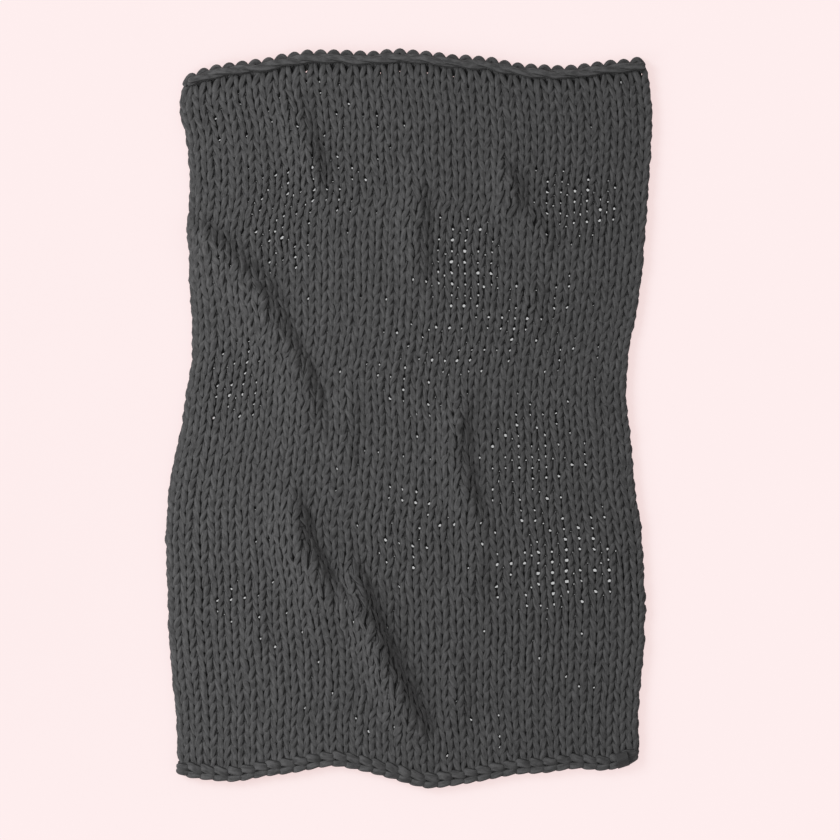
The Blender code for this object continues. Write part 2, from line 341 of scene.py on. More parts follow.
def between(grid, wales, metres):
    """Reads a lattice between its points."""
    share = EDGE_LEFT + wales / WALES * (1 - EDGE_LEFT - EDGE_RIGHT)
    across = (share + BEYOND) / (1 + 2 * BEYOND) * (LATTICE_WIDE - 1)
    along = (metres / FLAT_LONG + BEYOND) / (1 + 2 * BEYOND) * (LATTICE_LONG - 1)
    column = np.clip(np.floor(across).astype(int), 0, LATTICE_WIDE - 2)
    row = np.clip(np.floor(along).astype(int), 0, LATTICE_LONG - 2)
    x = (across - column)[..., None]
    y = (along - row)[..., None]
    near = grid[row, column] * (1 - x) + grid[row, column + 1] * x
    far = grid[row + 1, column] * (1 - x) + grid[row + 1, column + 1] * x
    return near * (1 - y) + far * y


def read_cloth(wales, metres, above):
    """Where a point of the cloth lies, and the direction that points up from the cloth there."""
    up = unit(between(UP, wales, metres))
    return between(PLACES, wales, metres) + up * np.asarray(above)[..., None], up


def pulled(wales, metres):
    """How far the cloth is pulled open, from 0 to about 1."""
    x, y, _ = np.moveaxis(between(PLACES, wales, metres), -1, 0) / MM
    pull = np.zeros_like(x)
    for middle_x, middle_y, reach_x, reach_y, share in OPEN_PLACES:
        away = np.hypot((x - middle_x) / reach_x, (y - middle_y) / reach_y)
        pull += share * np.clip(1 - away**2 / 2, 0, 1)
    return pull


def crumpled(wales, metres):
    """How much the folds disorder the stitches, from 0 to 1."""
    x, y, _ = np.moveaxis(between(PLACES, wales, metres), -1, 0)
    return np.clip(fold_height(x, y) / CRUMPLE_HEIGHT, 0, 1)


# ---------------- gaps between the stitches


def course_middle(number):
    """How far up the cloth the middle of a course lies."""
    return CHAIN_LONG + (number + 0.5) * COURSE


def gap_offset(half_wale):
    """How far up from the middle of its course a gap lies, in courses. Odd half wales are middle lines."""
    return np.where(half_wale % 2 == 1, GAP_MIDDLE, GAP_BETWEEN)


def draw_gaps():
    """How wide the gap at each site is, from 0 to 1, by course and by half wale."""
    chance = np.random.default_rng(SEED)
    course, half_wale = np.mgrid[0:COURSES, 0 : 2 * WALES + 1]
    metres = course_middle(course) + gap_offset(half_wale) * COURSE
    pull = pulled(half_wale / 2, metres)
    is_open = chance.random(course.shape) < GAP_BASE + GAP_GAIN * pull
    room = GAP_UNPULLED + (1 - GAP_UNPULLED) * np.clip(pull, 0, 1)
    width = GAP_LEAST + (1 - GAP_LEAST) * chance.random(course.shape) ** GAP_RARE * room
    width = np.where(is_open, width, 0) * np.where(half_wale % 2 == 1, 1, GAP_SMALLER)
    width[:, :CLOSED_EDGE] = 0
    width[:, -CLOSED_EDGE:] = 0
    width[0] = 0  # the first course lies partly under the chain
    from_middle = np.abs(between(PLACES, half_wale / 2, metres)[..., 0] - UNDER_MIDDLE[0])
    width[from_middle > UNDER_REACH[0] - GAP_REACH / 2] = 0  # the floor is pink there
    return width


GAPS = draw_gaps()


def pushed_aside(wales, metres):
    """Moves points of the yarn away from the gaps near them."""
    moved_across = np.zeros_like(wales)
    moved_along = np.zeros_like(metres)
    nearest = np.rint(2 * wales).astype(int)
    for step in (-2, -1, 0, 1, 2):
        half_wale = np.clip(nearest + step, 0, 2 * WALES)
        offset = gap_offset(half_wale)
        own = np.floor((metres - CHAIN_LONG) / COURSE - offset).astype(int)
        for number in (own - 1, own, own + 1):
            inside = (number >= 0) & (number < COURSES) & (half_wale == nearest + step)
            width = np.where(inside, GAPS[np.clip(number, 0, COURSES - 1), half_wale], 0)
            across = (wales - half_wale / 2) * WALE
            along = metres - course_middle(number) - offset * COURSE
            away = np.hypot(across, along)
            push = GAP_PUSH * width * np.clip(1 - (away / GAP_REACH) ** 2, 0, 1) ** 2
            moved_across += push * across / np.maximum(away, MM)
            moved_along += push * along / np.maximum(away, MM)
    return wales + moved_across / WALE, metres + moved_along


# ---------------- meshes


def fuller(share):
    """Squares the yarn's round section a little, as when it is pressed against its neighbours."""
    return np.sign(share) * np.abs(share) ** YARN_PRESSED


def sweep(lines, up, wide, thick):
    """Rings of points round each line: wide across the cloth, thick through it."""
    run = unit(np.gradient(lines, axis=1))
    across = unit(np.cross(run, up))
    out = np.cross(across, run)
    angle = (np.arange(YARN_SIDES) + 0.5) * 2 * math.pi / YARN_SIDES
    by_side = (across * (wide / 2)[..., None])[:, :, None] * fuller(np.cos(angle))[:, None]
    by_top = (out * (thick / 2)[..., None])[:, :, None] * fuller(np.sin(angle))[:, None]
    return lines[:, :, None] + by_side + by_top


def smooth_mesh(name, places, faces):
    """A mesh with smooth shading."""
    mesh = bpy.data.meshes.new(name)
    mesh.from_pydata(places.reshape(-1, 3).tolist(), [], faces)
    mesh.polygons.foreach_set("use_smooth", np.ones(len(mesh.polygons), bool))
    return mesh


def sheet_quads(shape):
    """The quads of a sheet whose points lie in rows and columns."""
    index = np.arange(shape[0] * shape[1]).reshape(shape)
    return np.stack([index[:-1, :-1], index[:-1, 1:], index[1:, 1:], index[1:, :-1]], -1).reshape(-1, 4)


def add_map(mesh, name, corners):
    """A UV map with a place for each corner of the mesh, in order."""
    layer = mesh.uv_layers.new(name=name)
    layer.data.foreach_set("uv", corners.ravel().astype(np.float32))


def tube_mesh(name, rings, crease, strips):
    """One mesh of closed tubes from their rings, with maps of their fibres and creases and one to bake on."""
    lines, points, sides = rings.shape[:3]
    index = np.arange(lines * points * sides).reshape(lines, points, sides)
    here, ahead = index[:, :-1], index[:, 1:]
    quads = np.stack([here, ahead, np.roll(ahead, -1, 2), np.roll(here, -1, 2)], -1).reshape(-1, 4)
    starts = index[:, 0]
    stops = index[:, -1, ::-1]
    faces = quads.tolist() + starts.tolist() + stops.tolist()
    mesh = smooth_mesh(name, rings, faces)
    add_yarn_map(mesh, rings)
    add_crease_map(mesh, crease, sides)
    add_bake_map(mesh, lines, points, sides, strips)
    return mesh


def corner_grid(lines, points, sides):
    """For each corner of each quad, in order: its line, its point, its side and the quad's own point."""
    line, point, side = np.mgrid[0:lines, 0 : points - 1, 0:sides]
    step_on = np.array([0, 1, 1, 0])
    step_round = np.array([0, 0, 1, 1])
    return line[..., None], point[..., None] + step_on, side[..., None] + step_round, point[..., None]


def cap_corners(lines, sides):
    """The corners of the caps, as a small round patch about the middle of a map."""
    angle = np.arange(sides) * 2 * math.pi / sides
    patch = np.stack([np.cos(angle), np.sin(angle)], -1) * 0.5 + 0.5
    return np.tile(patch, (2 * lines, 1))


def add_yarn_map(mesh, rings):
    """Metres along the yarn and metres round it, in which its fibres lie."""
    lines, points, sides = rings.shape[:3]
    middles = rings.mean(2)
    steps = np.linalg.norm(np.diff(middles, axis=1), axis=2)
    run = np.concatenate([np.zeros((lines, 1)), np.cumsum(steps, axis=1)], 1)
    line, point, side, _ = corner_grid(lines, points, sides)
    along = run[line, point] + line * YARN_OFFSET
    round_it = np.broadcast_to(side / sides * YARN_ROUND, along.shape)
    tubes = np.stack([along, round_it], -1).reshape(-1, 2)
    caps = cap_corners(lines, sides) * YARN_WIDE
    add_map(mesh, "Yarn", np.concatenate([tubes, caps]))


def add_crease_map(mesh, crease, sides):
    """How deep in a crease each point of the yarn lies, from 0 to 1, along the map's X."""
    lines, points = crease.shape
    line, point, _, _ = corner_grid(lines, points, sides)
    deep = crease[line, point]
    tubes = np.stack([deep, np.zeros_like(deep)], -1).reshape(-1, 2)
    caps = np.zeros((2 * lines * sides, 2))
    add_map(mesh, "Crease", np.concatenate([tubes, caps]))


def add_bake_map(mesh, lines, points, sides, strips):
    """Lays each tube out in even strips, so that every stitch has its own place in the map."""
    line, point, side, own = corner_grid(lines, points, sides)
    strip_points = math.ceil((points - 1) / strips)
    strip = own // strip_points
    along = (point - strip * strip_points) / strip_points
    up_strip = STRIP_MARGIN + (1 - 2 * STRIP_MARGIN) * side / sides
    shelf = (line * strips + strip + up_strip) / (lines * strips)
    tubes = np.stack(np.broadcast_arrays(along, shelf), -1).reshape(-1, 2)
    caps = cap_corners(lines, sides) / (lines * strips)
    add_map(mesh, "OFBake", np.concatenate([tubes, caps]))


def add_piece(name, mesh, material):
    """A visible piece of the one body."""
    piece = bpy.data.objects.new(name, mesh)
    bpy.context.scene.collection.objects.link(piece)
    mesh.materials.append(material)
    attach(piece, "root")
    return piece


# ---------------- the courses of stitches


def luck_along(chance, limbs_at, lines):
    """A smooth chance value from -1 to 1 along each line, one drawn for each limb, which is half a turn."""
    draws = chance.uniform(-1, 1, (lines, int(limbs_at.max()) + 3))
    low = np.floor(limbs_at).astype(int)
    blend = ease(limbs_at - low)
    return draws[:, low + 1] * (1 - blend) + draws[:, low + 2] * blend


def drawn_field(seed):
    """Chance values from -1 to 1, two to a wale and one to a course."""
    shape = (COURSES + 2 * FIELD_MARGIN, 2 * WALES + 1 + 2 * FIELD_MARGIN)
    return np.random.default_rng(seed).uniform(-1, 1, shape)


ACROSS_FIELD = drawn_field(SEED + 30)
ALONG_FIELD = drawn_field(SEED + 31)


def read_field(field, wales, metres):
    """Reads such values smoothly at places of the cloth."""
    column = np.clip(2 * wales + FIELD_MARGIN, 0, field.shape[1] - 1.001)
    row = np.clip((metres - CHAIN_LONG) / COURSE + FIELD_MARGIN, 0, field.shape[0] - 1.001)
    left = np.floor(column).astype(int)
    low = np.floor(row).astype(int)
    x = ease(column - left)
    y = ease(row - low)
    near = field[low, left] * (1 - x) + field[low, left + 1] * x
    far = field[low + 1, left] * (1 - x) + field[low + 1, left + 1] * x
    return near * (1 - y) + far * y


def uneven(wales, metres):
    """The stitches' unevenness: where a point really lies, and how much wider the yarn has room to be."""
    right = read_field(ACROSS_FIELD, wales + QUARTER_WALE, metres)
    left = read_field(ACROSS_FIELD, wales - QUARTER_WALE, metres)
    gain = 1 + CRUMPLE_GAIN * crumpled(wales, metres)
    across = SHIFT_ACROSS * gain * (right + left) / 2
    along = SHIFT_ALONG * gain * read_field(ALONG_FIELD, wales / 2, metres)
    room = np.clip(1 + SHIFT_ACROSS * gain * (right - left) / (2 * QUARTER_WALE), *CRUMPLE_ROOM)
    return wales + across, metres + along * COURSE, room


def course_points(numbers, chance):
    """The yarn of some courses, from left to right: wales, metres, height, thickness and crease by point.

    A stitch is one turn. From its lowest point, behind the cloth, the yarn rises in front as the left leg,
    goes round behind as the loop's head half a turn on, and comes down in front as the right leg.
    """
    turn = np.linspace(0, 2 * math.pi * WALES, WALES * STITCH_POINTS + 1)[CUT_POINTS:-CUT_POINTS]
    limbs_at = np.maximum(turn / math.pi - 0.5, 0)
    lines = len(numbers)
    middles = course_middle(np.array(numbers))[:, None]
    lean = LEG_LEAN * (1 + LEAN_SPREAD * luck_along(chance, limbs_at, lines))
    wales = turn / (2 * math.pi) + lean * np.sin(2 * turn)
    metres = middles - LOOP_REACH * COURSE * np.cos(turn)
    wales, metres, room = uneven(wales, metres)
    from_low = np.abs(np.mod(turn + math.pi, 2 * math.pi) - math.pi)
    crease = np.clip(1 - np.abs(from_low / FOOT_AT - 1), 0, 1)
    above = -LOOP_DEPTH * np.cos(2 * turn) + LOOP_TILT * np.cos(turn) - FOOT_DOWN * crease
    gain = 1 + CRUMPLE_GAIN * crumpled(wales, metres)
    above = above + SHIFT_DEPTH * gain * luck_along(chance, limbs_at, lines)
    full = room * (1 + WIDTH_SPREAD * luck_along(chance, limbs_at, lines))
    full = full * (1 - FOOT_THIN * crease)
    crossing = np.sin(2 * turn) ** 2
    head = np.clip(-np.cos(turn), 0, 1) ** BACK_SHORT
    full = full * (1 - CROSS_THIN * crossing - BACK_THIN * head)
    full = full * (1 - PULLED_THIN * np.clip(pulled(wales, metres), 0, 1))
    tucked = ((np.array(numbers) < 0) | (np.array(numbers) >= COURSES))[:, None]
    above = np.where(tucked, TUCKED_FLAT * above + TUCKED_DOWN, above)
    metres = np.where(tucked, middles + TUCKED_SHORT * (metres - middles), metres)
    return np.stack(np.broadcast_arrays(wales, metres, above, full, crease), -1)


def turn_points(start, stop, out):
    """The yarn's way round at a selvedge, from one course's end to the next one's."""
    share = (np.arange(TURN_POINTS) + 1)[None, :, None] / (TURN_POINTS + 1)
    path = start[:, None] * (1 - share) + stop[:, None] * share
    bulge = np.sin(math.pi * share[..., 0])
    path[..., 0] += out * TURN_OUT * bulge
    path[..., 1] -= TURN_LONG * COURSE * np.sin(2 * math.pi * share[..., 0])
    path[..., 2] += TURN_LIFT * bulge
    path[..., 3] *= 1 - TURN_THIN * bulge
    return path


def add_courses(ball, material):
    """The pairs of courses that one ball of yarn makes. Each runs back, turns, runs forth and turns."""
    chance = np.random.default_rng(SEED + 1 + ball)
    firsts = list(range(2 * ball - 1, COURSES, 2 * BALLS))
    back = course_points(firsts, chance)[:, ::-1]
    forth = course_points([n + 1 for n in firsts], chance)
    next_right = back[:, 0].copy()
    next_right[:, 1] += 2 * COURSE
    left_turn = turn_points(back[:, -1], forth[:, 0], -1)
    right_turn = turn_points(forth[:, -1], next_right, 1)
    path = np.concatenate([back, left_turn, forth, right_turn], 1)
    wales, metres = pushed_aside(path[..., 0], path[..., 1])
    rolled = np.clip(1 - wales / ROLLED_WALES, 0, 1)
    wales = wales - ROLLED_OUT * np.sin(math.pi * rolled) ** 2
    lines, up = read_cloth(wales, metres, path[..., 2] - ROLLED_DOWN * rolled**4)
    rings = sweep(lines, up, YARN_WIDE * path[..., 3], YARN_THICK * path[..., 3])
    mesh = tube_mesh(f"courses_{ball + 1}", rings, path[..., 4], COURSE_STRIPS)
    return add_piece(f"courses_{ball + 1}", mesh, material)


# ---------------- the worked ends

CHAIN_MIDDLE = 0.0173  # metres up from the near edge
CHAIN_PARTS = (
    # offset from that middle, swing across it, width of yarn, and lean in wales
    (0.0072, 0.0030, 0.0200, 0.10),
    (-0.0086, -0.0014, 0.0165, 0.12),
)
CHAIN_CLOSE = 0.75  # how far the two strands draw together at their ends
CHAIN_CLOSING = 0.8  # ... over this many wales
CHAIN_LIFT = 0.0035  # how far above the cloth's middle it lies
CHAIN_DIP = 0.0034  # how far each link rises and dips
CHAIN_FLAT = 0.8  # its yarn's thickness, as a share of its width
CHAIN_SHIFT = 0.04  # chance shifts of its links, in wales
CHAIN_SPREAD = 0.06  # ... and differences in width
LINK_POINTS = 16  # points in a link or loop

ROLL_START = 0.35  # wales in from the left selvedge, where it begins
ROLL_INSET = 0.0212  # metres in from the far edge
ROLL_LIFT = 0.0095  # how far above the cloth's middle it lies
ROLL_SWING = 0.0038  # how far each of its two strands swings round the other
ROLL_SHIFT = 0.0008  # chance shifts of its strands
ROLL_SPREAD = 0.08  # ... and differences in width
ROLL_WALES = 4.4  # wales in one full turn of the two strands
ROLL_WIDE = 0.0150
ROLL_POINTS = 10  # points in a wale

LOOP_WIDE = 0.0135
LOOP_HIGH = 0.009  # how far the bound-off loops wave in and out
LOOP_ROUND = 0.10  # how much wider their crests are than their notches, in wales
LOOP_INSET = 0.0142  # metres in from the far edge
LOOP_LIFT = 0.0005  # how far above the cloth's middle they lie
LOOP_SHIFT = 0.0012  # chance shifts of the loops
END_POINTS = 4  # points over which a cut end rounds off
END_LEFT = 0.25  # ... and how far along these its last point lies, so that it isn't a tip


def rounded_ends(points):
    """The thickness along a strand whose two ends are rounded off."""
    from_end = np.minimum(np.arange(points), np.arange(points)[::-1])
    share = np.clip((from_end + END_LEFT) / END_POINTS, 0, 1)
    return np.sqrt(1 - (1 - share) ** 2)


def add_strands(name, wales, metres, above, wide, thick, material):
    """Strands that lie on the cloth, each given by its way in the cloth's measure."""
    lines, up = read_cloth(wales, metres, above)
    rings = sweep(lines, up, wide, thick)
    mesh = tube_mesh(name, rings, np.zeros_like(wales), END_STRIPS)
    piece = add_piece(name, mesh, material)
    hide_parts("blanket")
    return piece


def add_chain(material):
    """The cast-on chain: two strands whose links lie one over the next, leaning towards each other."""
    turn = np.linspace(0, 2 * math.pi * WALES, WALES * LINK_POINTS + 1)
    chance = np.random.default_rng(SEED + 50)
    links_at = turn / (2 * math.pi)
    near_end = 1 - np.clip(np.minimum(links_at, WALES - links_at) / CHAIN_CLOSING, 0, 1)
    strands = []
    for offset, swing, wide, lean in CHAIN_PARTS:
        shift = CHAIN_SHIFT * luck_along(chance, links_at, 1)[0]
        wales = links_at - lean * np.cos(turn) + shift
        metres = CHAIN_MIDDLE + (offset + swing * np.cos(turn)) * (1 - CHAIN_CLOSE * near_end**2)
        above = CHAIN_LIFT + CHAIN_DIP * np.sin(turn)
        spread = 1 + CHAIN_SPREAD * luck_along(chance, links_at, 1)[0]
        strands.append((wales, metres, above, wide * spread * rounded_ends(len(turn))))
    wales, metres, above, wide = np.moveaxis(np.array(strands), 1, 0)
    return add_strands("cast_on_chain", wales, metres, above, wide, wide * CHAIN_FLAT, material)


def add_roll(material):
    """The bound-off roll: two strands turning slowly round each other along the far end."""
    at = np.linspace(ROLL_START, WALES, WALES * ROLL_POINTS + 1)
    turn = np.stack([at, at]) / ROLL_WALES * 2 * math.pi + np.array([[0], [math.pi]])
    chance = np.random.default_rng(SEED + 70)
    metres = FLAT_LONG - ROLL_INSET + ROLL_SWING * np.cos(turn) + ROLL_SHIFT * luck_along(chance, at, 2)
    above = ROLL_LIFT + ROLL_SWING * np.sin(turn) + ROLL_SHIFT * luck_along(chance, at, 2)
    wide = ROLL_WIDE * (1 + ROLL_SPREAD * luck_along(chance, at, 2)) * rounded_ends(len(at))
    return add_strands("bound_off_roll", np.stack([at, at]), metres, above, wide, wide, material)


def add_loops(material):
    """The scalloped row of loops behind the roll."""
    turn = np.linspace(-math.pi, 2 * math.pi * WALES - math.pi, WALES * LINK_POINTS + 1)[None]
    wales = turn / (2 * math.pi) + 0.5 + LOOP_ROUND * np.sin(turn)
    metres = FLAT_LONG - LOOP_INSET + LOOP_HIGH * np.cos(turn)
    chance = np.random.default_rng(SEED + 60)
    metres = metres + LOOP_SHIFT * luck_along(chance, np.maximum(turn[0] / (2 * math.pi), 0), 1)
    above = np.full_like(turn, LOOP_LIFT)
    wide = np.full_like(turn, LOOP_WIDE) * rounded_ends(turn.shape[1])
    return add_strands("bound_off_loops", wales, metres, above, wide, wide, material)


# ---------------- the label

LABEL_WALE = 33.6  # the wale that its middle lies on
LABEL_WIDE = 0.028
LABEL_THICK = 0.001
LABEL_SLANT = 0.14  # how far it drifts to the right along its length, as a share of it
LABEL_COLUMNS = 12
LABEL_ROWS = 30
LABEL_PATH = (
    # millimetres in from the near edge, and up from the surface under the cloth
    (34.5, 27.2),
    (30, 31.3),
    (19, 37.3),
    (8, 32.3),
    (-1.4, 21),
    (-2.4, 9),
)


def add_label(material):
    """The tape folded over the near edge: a sheet along a smooth path, with its thickness."""
    path = np.array(LABEL_PATH) * MM
    knots = np.concatenate([[0], np.cumsum(np.hypot(*np.diff(path, axis=0).T))])
    at = np.linspace(0, knots[-1], LABEL_ROWS + 1)
    smooth = smooth_curve(knots, path, at)
    across = np.linspace(-0.5, 0.5, LABEL_COLUMNS + 1) * LABEL_WIDE / WALE + LABEL_WALE
    wales, inset = np.meshgrid(across, smooth[:, 0])
    wales = wales + LABEL_SLANT * at[:, None] / WALE
    places, _ = read_cloth(wales, inset, np.zeros_like(wales))
    places[..., 2] = smooth[:, 1:]
    quads = sheet_quads(wales.shape)
    mesh = smooth_mesh("label_tape", places, quads.tolist())
    add_map(mesh, "Tape", np.stack([wales * WALE, inset], -1).reshape(-1, 2)[quads.ravel()])
    piece = add_piece("label_tape", mesh, material)
    thickness = piece.modifiers.new("thickness", "SOLIDIFY")
    thickness.thickness = LABEL_THICK
    thickness.offset = 0
    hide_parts("label")
    return piece


# ---------------- what closes the space between the yarn: a sheet of painted shade

GROUND_A_WALE = 4  # faces across a wale and along a course, so that each gap's site has a face of its own
GROUND_A_COURSE = 4
GROUND_ABOVE = 0.0004  # how far above the cloth's middle it lies
GROUND_INSET = 1  # faces left out along each selvedge
GROUND_INSET_NEAR = 1  # ... and along each end
GROUND_INSET_FAR = 3


def add_ground(material):
    """The thin inner sheet of the cloth, coloured as painted shade, which ends a little short of its edges and
    is open at the gaps.
    """
    columns = np.arange(GROUND_INSET, WALES * GROUND_A_WALE - GROUND_INSET + 1) + 0.5
    first = -int(CHAIN_LONG / COURSE * GROUND_A_COURSE)
    last = int((FLAT_LONG - CHAIN_LONG) / COURSE * GROUND_A_COURSE)
    rows = np.arange(first + GROUND_INSET_NEAR, last - GROUND_INSET_FAR + 1)
    up_cloth = CHAIN_LONG + (rows + 0.5) / GROUND_A_COURSE * COURSE
    wales, metres = np.meshgrid(columns[:-1] / GROUND_A_WALE, up_cloth)
    places, _ = read_cloth(wales, metres, np.full_like(wales, GROUND_ABOVE))
    closed = ~gap_faces(rows[:-1] + 1, columns[:-2] + 0.5).ravel()
    mesh = smooth_mesh("ground", places, sheet_quads(wales.shape)[closed].tolist())
    return add_piece("ground", mesh, material)


def gap_faces(rows, columns):
    """Whether the face whose middle lies at each quarter course and quarter wale is an open gap's."""
    quarter_course, quarter_wale = np.meshgrid(rows, columns, indexing="ij")
    half_wale = (quarter_wale / 2).astype(int)
    on_site = quarter_wale % 2 == 0
    first_face = np.rint((0.5 + gap_offset(half_wale)) * GROUND_A_COURSE).astype(int)
    above_start = quarter_course - first_face
    course = above_start // GROUND_A_COURSE
    on_site &= (above_start % GROUND_A_COURSE == 0) & (course >= 0) & (course < COURSES)
    return on_site & (GAPS[np.clip(course, 0, COURSES - 1), half_wale] > 0)


# ---------------- materials

WHITE = (1, 1, 1, 1)
BLACK = (0, 0, 0, 1)

# A ramp's stops are each a place from 0 to 1 and the colour or shade there. Relief is a strength and metres.
YARN_DARK = (0.054, 0.054, 0.055, 1)
YARN_LIGHT = (0.107, 0.107, 0.109, 1)
YARN_SURFACE = {"Roughness": 0.9, "Sheen Weight": 0.08, "Sheen Roughness": 0.6, "Specular IOR Level": 0.2}
FIBRE_SCALE = (55, 230, 1)  # how fine its fibres are, to a metre along the yarn and round it
FIBRE_STOPS = ((0.36, YARN_DARK), (0.62, YARN_LIGHT))
FIBRE_RELIEF = (0.5, 0.002)
PATCH_SCALE = 30  # how fine its darker patches are, to a metre
PATCH_STOPS = ((0.3, (0.92, 0.92, 0.92, 1)), (0.7, WHITE))
SPECK_SCALE = 420  # ... and how fine its specks of loose fibre
SPECK_STOPS = ((0.35, (0.78, 0.78, 0.78, 1)), (0.65, WHITE))
CREASE_PAINTED_SHADE_STOPS = ((0.30, WHITE), (0.90, (0.12, 0.12, 0.12, 1)))  # painted shade, by how deep in the crease at a leg's foot
FLANK_PAINTED_SHADE = (0.07, 0.07, 0.07, 1)  # painted shade on its flanks beside its top, where its neighbours touch it
FLANK_PAINTED_SHADE_STOPS = (
    # how far sideways the yarn's surface faces, and the painted shade there
    (0.68, WHITE),
    (0.91, FLANK_PAINTED_SHADE),
    (0.94, FLANK_PAINTED_SHADE),
    (0.99, (0.8, 0.8, 0.8, 1)),
)
TAPE = (0.03, 0.03, 0.031, 1)
TAPE_SURFACE = {"Roughness": 0.75}
TAPE_THREADS = (
    # the two colours of its crossing threads
    (0.024, 0.024, 0.025, 1),
    (0.042, 0.042, 0.043, 1),
)
TAPE_SCALE = 1400  # threads to a metre
TAPE_RELIEF = (0.3, 0.0003)
# The ground's colours are painted shade, darker than the yarn, for the space between the stitches.
GROUND_SURFACE = {"Roughness": 1.0, "Specular IOR Level": 0.0}
GROUND_SCALE = 220  # how fine the loose fibres in its painted shade are, to a metre
GROUND_SHADE_STOPS = ((0.3, (0.028, 0.028, 0.029, 1)), (0.7, (0.050, 0.050, 0.051, 1)))


def new_material(name, colour, surface):
    """A material with a Principled shader, and its node tree."""
    made = bpy.data.materials.new(name)
    made.use_nodes = True
    shader = made.node_tree.nodes["Principled BSDF"]
    shader.inputs["Base Color"].default_value = colour
    for socket, value in surface.items():
        shader.inputs[socket].default_value = value
    return made, made.node_tree, shader


def feed(tree, value, socket):
    """Gives a socket what another one puts out, or a value of its own."""
    if isinstance(value, bpy.types.NodeSocket):
        tree.links.new(value, socket)
    else:
        socket.default_value = value


def uv_map(tree, name):
    """One of the mesh's UV maps."""
    made = tree.nodes.new("ShaderNodeUVMap")
    made.uv_map = name
    return made.outputs["UV"]


def parts(tree, vector):
    """A vector's X, Y and Z."""
    made = tree.nodes.new("ShaderNodeSeparateXYZ")
    tree.links.new(vector, made.inputs[0])
    return made.outputs


def noise(tree, vector, scale, detail):
    """Smooth chance values from 0 to 1."""
    made = tree.nodes.new("ShaderNodeTexNoise")
    made.inputs["Scale"].default_value = scale
    made.inputs["Detail"].default_value = detail
    tree.links.new(vector, made.inputs["Vector"])
    return made.outputs["Fac"]


def ramp(tree, factor, stops):
    """Colours by a value, from the places and colours of some stops."""
    made = tree.nodes.new("ShaderNodeValToRGB")
    elements = made.color_ramp.elements
    elements[0].position, elements[0].color = stops[0]
    elements[1].position, elements[1].color = stops[-1]
    for place, colour in stops[1:-1]:
        elements.new(place).color = colour
    tree.links.new(factor, made.inputs["Fac"])
    return made.outputs["Color"]


def math_node(tree, operation, first, second):
    """A Math node between two values, each a socket or a number."""
    made = tree.nodes.new("ShaderNodeMath")
    made.operation = operation
    feed(tree, first, made.inputs[0])
    feed(tree, second, made.inputs[1])
    return made.outputs[0]


def vector_node(tree, operation, first, second, output):
    """A Vector Math node between a socket and a fixed vector."""
    made = tree.nodes.new("ShaderNodeVectorMath")
    made.operation = operation
    tree.links.new(first, made.inputs[0])
    made.inputs[1].default_value = second
    return made.outputs[output]


def colour_mix(tree, blend, factor, first, second):
    """Two colours blended. A Mix node's colours are its inputs 6 and 7 and its output 2."""
    made = tree.nodes.new("ShaderNodeMix")
    made.data_type = "RGBA"
    made.blend_type = blend
    feed(tree, factor, made.inputs["Factor"])
    feed(tree, first, made.inputs[6])
    feed(tree, second, made.inputs[7])
    return made.outputs[2]


def colour_product(tree, first, second):
    """One colour darkened by another."""
    return colour_mix(tree, "MULTIPLY", 1, first, second)


def add_bump(tree, shader, height, strength, distance):
    """Relief too fine for the mesh. The distance is in metres."""
    bump = tree.nodes.new("ShaderNodeBump")
    bump.inputs["Strength"].default_value = strength
    bump.inputs["Distance"].default_value = distance
    tree.links.new(height, bump.inputs["Height"])
    tree.links.new(bump.outputs["Normal"], shader.inputs["Normal"])


def yarn_fibres(tree):
    """Fine fibres that run along the yarn."""
    stretch = tree.nodes.new("ShaderNodeMapping")
    stretch.inputs["Scale"].default_value = FIBRE_SCALE
    tree.links.new(uv_map(tree, "Yarn"), stretch.inputs["Vector"])
    return noise(tree, stretch.outputs["Vector"], 1, 3)


def yarn_tint(tree, fibres):
    """The yarn's own colour: streaked by its fibres, with darker patches and specks."""
    place = tree.nodes.new("ShaderNodeTexCoord").outputs["Object"]
    streaks = ramp(tree, fibres, FIBRE_STOPS)
    patches = ramp(tree, noise(tree, place, PATCH_SCALE, 2), PATCH_STOPS)
    specks = ramp(tree, noise(tree, place, SPECK_SCALE, 2), SPECK_STOPS)
    return colour_product(tree, colour_product(tree, streaks, patches), specks)


def yarn_painted_shade(tree):
    """Painted shade on the yarn's flanks and in its creases, where its neighbours would shade it."""
    round_it = parts(tree, uv_map(tree, "Yarn"))["Y"]
    turned = math_node(tree, "MULTIPLY", round_it, 2 * math.pi / YARN_ROUND)
    angle = math_node(tree, "ADD", turned, math.pi / YARN_SIDES)
    sideways = math_node(tree, "ABSOLUTE", math_node(tree, "COSINE", angle, 0), 0)
    # painted shade on the flanks, where neighbouring strands would shade the yarn
    flanks = ramp(tree, sideways, FLANK_PAINTED_SHADE_STOPS)
    # painted shade in the crease at each leg's foot
    deep = parts(tree, uv_map(tree, "Crease"))["X"]
    return colour_product(tree, flanks, ramp(tree, deep, CREASE_PAINTED_SHADE_STOPS))


def yarn_material():
    """Soft matt roving, with painted shade where its strands touch each other."""
    made, tree, shader = new_material("yarn", YARN_LIGHT, YARN_SURFACE)
    fibres = yarn_fibres(tree)
    tint = yarn_tint(tree, fibres)
    # the painted shade of flanks and creases, multiplied into the yarn's colour
    shade = yarn_painted_shade(tree)
    tree.links.new(colour_product(tree, tint, shade), shader.inputs["Base Color"])
    add_bump(tree, shader, fibres, *FIBRE_RELIEF)
    return made


